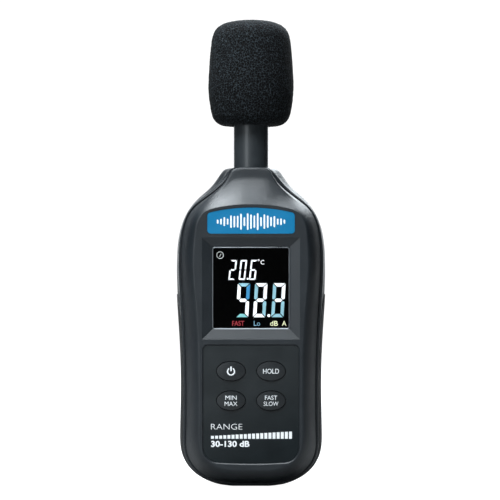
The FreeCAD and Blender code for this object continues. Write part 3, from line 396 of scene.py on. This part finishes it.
def add_floor():
    """A small pale floor, bright enough to meet the background without an edge."""
    bpy.ops.mesh.primitive_circle_add(vertices=96, radius=0.75, fill_type="NGON", location=(0, 0.15, 0))
    floor = bpy.context.object
    floor.name = "floor"
    finish = grained("floor_white", (0.17, 0.17, 0.17), 0.9, grain=2 * MM, variety=0.005)
    tree = finish.node_tree
    surface = tree.nodes["Principled BSDF"]
    surface.inputs["Emission Color"].default_value = (1, 1, 1, 1)
    tree.links.new(tree.nodes.new("ShaderNodeLightPath").outputs["Is Camera Ray"],
                   surface.inputs["Emission Strength"])
    floor.data.materials.append(finish)


add_camera()
add_world()
add_area("key", (-0.20, -0.42, 0.62), (0, 0, 0.1), (0.5, 0.30), 7.8)
add_area("top", (-0.08, 0.02, 0.72), (0, 0, 0.1), (0.45, 0.35), 10.5)
add_area("strip", (-0.36, -0.64, 0.2), (0, 0, 0.12), (0.24, 0.5), 1.5)
add_area("rear", (0.22, 0.50, 0.55), (0, 0, 0.1), (0.4, 0.4), 5.0)
add_floor()
bpy.context.scene.view_settings.view_transform = "Standard"

# ---- flat artwork: lettering, symbols and display segments ------------------------------------

def new_piece(name, mesh, finish, body):
    """Puts a mesh in the scene as a piece that rides on a body."""
    mesh.materials.clear()
    mesh.materials.append(finish)
    piece = bpy.data.objects.new(name, mesh)
    bpy.context.scene.collection.objects.link(piece)
    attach(piece, body)
    return piece


def plate_mesh(name, outlines, surface):
    """Thin plates with the given XZ outlines, each standing proud of surface(x, z)."""
    bm = bmesh.new()
    for outline in outlines:
        back = [bm.verts.new((x, surface(x, z), z)) for x, z in outline]
        front = [bm.verts.new((x, surface(x, z) - INK, z)) for x, z in outline]
        bm.faces.new(front)
        bm.faces.new(list(reversed(back)))
        for index in range(len(outline)):
            after = (index + 1) % len(outline)
            bm.faces.new((front[index], back[index], back[after], front[after]))
    bmesh.ops.recalc_face_normals(bm, faces=bm.faces)
    mesh = bpy.data.meshes.new(name)
    bm.to_mesh(mesh)
    bm.free()
    return mesh


def plates(name, outlines, surface, finish, body):
    """A piece made of thin plates."""
    return new_piece(name, plate_mesh(name, outlines, surface), finish, body)


def lettering(name, text, finish, body, surface, height, place, width=None, bold=0.0):
    """Text in the XZ plane, its lower left corner or its centre at place, laid on surface(x, z)."""
    curve = bpy.data.curves.new(name, "FONT")
    curve.body = text
    curve.offset = bold
    curve.extrude = 0.01
    curve.resolution_u = 4
    source = bpy.data.objects.new(name + "_source", curve)
    bpy.context.scene.collection.objects.link(source)
    mesh = bpy.data.meshes.new_from_object(source.evaluated_get(bpy.context.evaluated_depsgraph_get()))
    bpy.data.objects.remove(source)
    low = Vector([min(v.co[axis] for v in mesh.vertices) for axis in range(3)])
    high = Vector([max(v.co[axis] for v in mesh.vertices) for axis in range(3)])
    tall = height / (high.y - low.y)
    wide = width / (high.x - low.x) if width else tall
    x0, z0, anchor = place
    if anchor == "centre":
        x0 -= wide * (high.x - low.x) / 2
        z0 -= height / 2
    for vertex in mesh.vertices:
        x = x0 + (vertex.co.x - low.x) * wide
        z = z0 + (vertex.co.y - low.y) * tall
        depth = INK if vertex.co.z > 0 else 0.0
        vertex.co = (x, surface(x, z) - depth, z)
    return new_piece(name, mesh, finish, body)


def arc_band(x, z, radius, stroke, start, end, steps=40):
    """The outline of a ring's sector, angles in degrees from +X towards +Z."""
    angles = [math.radians(start + (end - start) * step / steps) for step in range(steps + 1)]
    outside, inside = radius + stroke / 2, radius - stroke / 2
    outer = [(x + outside * math.cos(a), z + outside * math.sin(a)) for a in angles]
    inner = [(x + inside * math.cos(a), z + inside * math.sin(a)) for a in angles]
    return outer + list(reversed(inner))


def ring_band(x, z, radius, stroke, steps=40):
    """The outline of a whole ring: a sector whose ends all but meet."""
    return arc_band(x, z, radius, stroke, 0, 359.9, steps)


def bar(x, z, width, height, steps=5):
    """An upright bar with round ends, centred on x, z."""
    radius = width / 2
    points = []
    for centre_z, start in ((z + height / 2 - radius, 0), (z - height / 2 + radius, 180)):
        for step in range(steps + 1):
            angle = math.radians(start + 180 * step / steps)
            points.append((x + radius * math.cos(angle), centre_z + radius * math.sin(angle)))
    return points


def block(x0, x1, z0, z1):
    return [(x0, z0), (x1, z0), (x1, z1), (x0, z1)]


# ---- display -----------------------------------------------------------------------------------

lcd_low, lcd_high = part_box("lcd_glass")
LIT_Y = lcd_low.y - 0.02 * MM


def on_lcd(x, z):
    return LIT_Y


def segments(width, height, stroke):
    """The seven segments of a digit, upright, as XZ outlines from its lower left corner."""
    gap = 0.2 * stroke
    middle, half = height / 2, stroke / 2
    upper_left = [(0, height - gap), (stroke, height - stroke - gap), (stroke, middle + half + gap),
                  (half, middle + gap), (0, middle + half)]
    top = [(gap, height), (width - gap, height), (width - stroke - gap, height - stroke),
           (stroke + gap, height - stroke)]
    bridge = [(half + gap, middle), (stroke + gap, middle + half),
              (width - stroke - gap, middle + half), (width - half - gap, middle),
              (width - stroke - gap, middle - half), (stroke + gap, middle - half)]

    def across(outline):
        return [(width - x, z) for x, z in reversed(outline)]

    def over(outline):
        return [(x, height - z) for x, z in reversed(outline)]

    return {"a": top, "b": across(upper_left), "c": over(across(upper_left)), "d": over(top),
            "e": over(upper_left), "f": upper_left, "g": bridge}


def digit(name, place, size, stroke, slant, lit):
    """A digit's lit segments. lit maps a finish to the letters of the segments that show it."""
    outlines = segments(*size, stroke)
    lean = math.tan(math.radians(slant))
    for finish, letters in lit.items():
        shapes = [[(place[0] + x + z * lean, place[1] + z) for x, z in outlines[letter]]
                  for letter in letters]
        mesh = plate_mesh(name, shapes, on_lcd)
        new_piece(name + "_" + letters, mesh, finish, "meter")


WHITE = glowing("lit_white", (1.0, 1.0, 1.0), 1.0)
PALE_CYAN = glowing("lit_pale_cyan", (0.24, 0.44, 0.50), 1.0)
SKY = glowing("lit_sky", (0.035, 0.22, 0.42), 1.0)
AQUA = glowing("lit_aqua", (0.20, 0.50, 0.50), 1.0)
RED = glowing("lit_red", (0.36, 0.03, 0.04), 1.0)
STEEL_BLUE = glowing("lit_steel_blue", (0.18, 0.36, 0.48), 1.0)
CREAM = glowing("lit_cream", (0.80, 0.80, 0.50), 1.0)
GREY = glowing("lit_grey", (0.50, 0.52, 0.50), 1.0)


def rounded_path(half_width, low, high, radius, steps=6):
    """Points round a rectangle with round corners, anticlockwise in XZ, each with its outward direction."""
    path = []
    corners = ((half_width, high, 0), (-half_width, high, 90),
               (-half_width, low, 180), (half_width, low, 270))
    for x, z, start in corners:
        centre_x = x - math.copysign(radius, x)
        centre_z = z - radius if z == high else z + radius
        for step in range(steps + 1):
            angle = math.radians(start + 90 * step / steps)
            out = (math.cos(angle), math.sin(angle))
            path.append((centre_x + radius * out[0], centre_z + radius * out[1], out))
    return path


def add_window_rim():
    """The polished bead round the display's opening."""
    centre_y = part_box("display_window")[0].y - 0.45 * MM
    radius, sides, corner = 0.24 * MM, 10, 0.9 * MM
    turns = [2 * math.pi * side / sides for side in range(sides)]
    bm = bmesh.new()
    rings = []
    for x, z, out in rounded_path(*DISPLAY_OPENING, corner):
        ring = []
        for turn in turns:
            aside = radius * math.cos(turn)
            place = (x + aside * out[0], centre_y + radius * math.sin(turn), z + aside * out[1])
            ring.append(bm.verts.new(place))
        rings.append(ring)
    for ring, after in zip(rings, rings[1:] + rings[:1]):
        for side in range(sides):
            beside = (side + 1) % sides
            bm.faces.new((ring[side], ring[beside], after[beside], after[side]))
    bmesh.ops.recalc_face_normals(bm, faces=bm.faces)
    mesh = bpy.data.meshes.new("window_rim")
    bm.to_mesh(mesh)
    bm.free()
    for polygon in mesh.polygons:
        polygon.use_smooth = True
    new_piece("window_rim", mesh, RIM, "meter")


def add_display():
    """The level, the temperature, and the small symbols and words, as the lit segments of a display."""
    big, big_z, big_stroke, big_slant = (4.85 * MM, 13.3 * MM), 67.3 * MM, 1.3 * MM, 3.6
    big_digits = (("level_tens", -5.99, {WHITE: "fgc", SKY: "b", PALE_CYAN: "a", AQUA: "d"}),
                  ("level_units", 0.75, {WHITE: "abged", PALE_CYAN: "fc"}),
                  ("level_tenths", 7.85, {WHITE: "abg", PALE_CYAN: "fecd"}))
    for name, x, lit in big_digits:
        digit(name, (x * MM, big_z), big, big_stroke, big_slant, lit)
    small, small_z, small_stroke, small_slant = (2.55 * MM, 7.8 * MM), 81.9 * MM, 0.6 * MM, 6.5
    small_digits = (("temperature_tens", -8.9, {WHITE: "abged"}),
                    ("temperature_units", -4.93, {WHITE: "abcdef"}),
                    ("temperature_tenths", -0.85, {WHITE: "acdefg"}))
    for name, x, lit in small_digits:
        digit(name, (x * MM, small_z), small, small_stroke, small_slant, lit)
    dots = [bar(6.95 * MM, 67.9 * MM, 1.15 * MM, 1.16 * MM),
            bar(-1.33 * MM, 82.35 * MM, 0.75 * MM, 0.76 * MM)]
    plates("display_points", dots, on_lcd, WHITE, "meter")
    clock_x, clock_z = -12.1 * MM, 91.6 * MM
    hand = [(clock_x - 0.35 * MM, clock_z - 0.55 * MM), (clock_x - 0.1 * MM, clock_z - 0.65 * MM),
            (clock_x + 0.5 * MM, clock_z + 0.45 * MM), (clock_x + 0.25 * MM, clock_z + 0.55 * MM)]
    clock = [ring_band(clock_x, clock_z, 1.3 * MM, 0.24 * MM), hand]
    plates("clock_symbol", clock, on_lcd, GREY, "meter")
    degree = [ring_band(2.95 * MM, 89.65 * MM, 0.28 * MM, 0.16 * MM, 20)]
    plates("degree_ring", degree, on_lcd, WHITE, "meter")
    words = (("unit_celsius", "C", WHITE, 3.75, 87.95, 1.7, 1.4),
             ("mode_fast", "FAST", RED, -7.35, 63.95, 1.9, 4.7),
             ("range_low", "Lo", STEEL_BLUE, 1.1, 63.95, 1.9, 2.45),
             ("unit_decibel", "dB", CREAM, 7.5, 63.95, 1.9, 3.0),
             ("weighting_a", "A", CREAM, 12.1, 63.95, 1.9, 1.7))
    for name, text, finish, x, z, height, width in words:
        lettering(name, text, finish, "meter", on_lcd, height * MM,
                  (x * MM, z * MM, "corner"), width * MM)


# ---- legends on the keys, the keypad and the badge ----------------------------------------------

def key_surface(node):
    """The depth of a key's domed face at x, z, worked out from its cap's highest point and edge."""
    low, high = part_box(node)
    centre_x, centre_z = (low.x + high.x) / 2, (low.z + high.z) / 2
    half_width, dome, let_in = 5.5 * MM, 0.4 * MM, 0.01 * MM
    radius = (half_width ** 2 + dome ** 2) / (2 * dome)

    def depth(x, z):
        reach = (x - centre_x) ** 2 + (z - centre_z) ** 2
        return low.y + radius - math.sqrt(radius ** 2 - reach) + let_in

    return depth, centre_x, centre_z


def add_key_legends():
    legends = (("hold", [("HOLD", 6.2)]), ("min_max", [("MIN", 4.4), ("MAX", 5.0)]),
               ("fast_slow", [("FAST", 4.75), ("SLOW", 5.75)]))
    for key, lines in legends:
        depth, x, z = key_surface(key + "_button")
        height = 1.9 * MM if len(lines) == 1 else 1.65 * MM
        for index, (text, width) in enumerate(lines):
            centre = z if len(lines) == 1 else z + (0.5 - index) * 2.35 * MM
            lettering("%s_legend_%d" % (key, index + 1), text, GREY_INK, key + "_key", depth,
                      height, (x, centre, "centre"), width * MM)
    depth, x, z = key_surface("power_button")
    symbol = [arc_band(x, z - 0.1 * MM, 1.35 * MM, 0.5 * MM, 122, 418),
              bar(x, z + 0.95 * MM, 0.5 * MM, 2.0 * MM)]
    plates("power_symbol", symbol, depth, WHITE_INK, "power_key")


def add_range_scale():
    """A printed scale in the keypad's lower part: a word, a row of blocks and its range."""
    surface_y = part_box("keypad_panel")[0].y + EMBED

    def on_film(x, z):
        return surface_y

    left = -15.6 * MM
    lettering("scale_word", "RANGE", WHITE_INK, "meter", on_film, 2.2 * MM,
              (left, 23.6 * MM, "corner"), 12.2 * MM, bold=-0.016)
    blocks = []
    count, pitch, width, low_z = 20, 1.6 * MM, 1.15 * MM, 20.0 * MM
    for index in range(count):
        x = left + index * pitch
        blocks.append(block(x, x + width, low_z, (21.1 + 1.7 * index / (count - 1)) * MM))
    plates("scale_blocks", blocks, on_film, WHITE_INK, "meter")
    lettering("scale_range", "30-130 dB", WHITE_INK, "meter", on_film, 2.4 * MM,
              (left, 16.8 * MM, "corner"), 15.0 * MM, bold=0.03)


def add_badge_bars():
    """A row of sound bars in place of a name."""
    low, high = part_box("badge_plate")
    surface_y = low.y + EMBED
    centre_z = (low.z + high.z) / 2 - 0.4 * MM
    bars = []
    count, pitch = 21, 1.3 * MM
    for index in range(count):
        place = (index - (count - 1) / 2) / (count / 2)
        swing = 0.35 + 0.65 * abs(math.sin(index * 1.9 + 0.6))
        height = (1.2 + 5.6 * (1 - place * place) * swing) * MM
        bars.append(bar(place * count / 2 * pitch, centre_z, 0.62 * MM, height))
    plates("badge_bars", bars, lambda x, z: surface_y, WHITE_INK, "meter")


def add_label_print():
    """The cells' size and a row of bars on the back label, readable from behind."""
    low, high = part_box("rear_label")
    surface_y = high.y - EMBED

    def on_label(x, z):
        return surface_y + INK

    text = lettering("label_cells", "3 x AAA 1.5 V", LABEL_INK, "meter", on_label, 2.2 * MM,
                     (0.0, low.z + 7.6 * MM, "centre"))
    for vertex in text.data.vertices:
        vertex.co.x = -vertex.co.x
    text.data.flip_normals()
    draw = random.Random(7)
    reach = 11.0 * MM
    bars, x = [], -reach
    while x < reach:
        width = draw.choice((0.25, 0.4, 0.6)) * MM
        bars.append(block(x, x + width, low.z + 2.0 * MM, low.z + 5.4 * MM))
        x += width + draw.choice((0.25, 0.4)) * MM
    plates("label_bars", bars, on_label, LABEL_INK, "meter")


# ---- foam windscreen -----------------------------------------------------------------------------

SKIN_STEP = 0.45 * MM
CELL_SIZE, CELL_DEPTH, CELL_REACH = 1.5 * MM, 0.32 * MM, 0.55  # the reach is in cell sizes
SWELL_SIZE, SWELL_DEPTH = 6.0 * MM, 0.12 * MM
FUZZ_SIZE, FUZZ_DEPTH = 0.8 * MM, 0.16 * MM


def add_windscreen():
    """The foam's own surface: an even skin cut from its solid, pitted with open cells."""
    source = CAD["windscreen"]
    foam = bpy.data.objects.new("foam_windscreen", source.data.copy())
    bpy.context.scene.collection.objects.link(foam)
    remesh = foam.modifiers.new("even_skin", "REMESH")
    remesh.mode = "VOXEL"
    remesh.voxel_size = SKIN_STEP
    mesh = bpy.data.meshes.new_from_object(foam.evaluated_get(bpy.context.evaluated_depsgraph_get()))
    foam.modifiers.clear()
    foam.data = mesh
    normals = [vertex.normal.copy() for vertex in mesh.vertices]
    for vertex, normal in zip(mesh.vertices, normals):
        nearest_cell = noise.voronoi(vertex.co / CELL_SIZE)[0][0]
        pit = max(0.0, CELL_REACH - nearest_cell) * CELL_DEPTH
        swell = (noise.noise(vertex.co / SWELL_SIZE) * 0.5 + 0.5) * SWELL_DEPTH
        fuzz = (noise.noise(vertex.co / FUZZ_SIZE) * 0.5 + 0.5) * FUZZ_DEPTH
        vertex.co -= normal * (pit + swell + fuzz)
    for polygon in mesh.polygons:
        polygon.use_smooth = True
    mesh.materials.clear()
    mesh.materials.append(FOAM)
    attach(foam, "foam_windscreen")
    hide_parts("windscreen")


add_window_rim()
add_display()
add_key_legends()
add_range_scale()
add_badge_bars()
add_label_print()
add_windscreen()
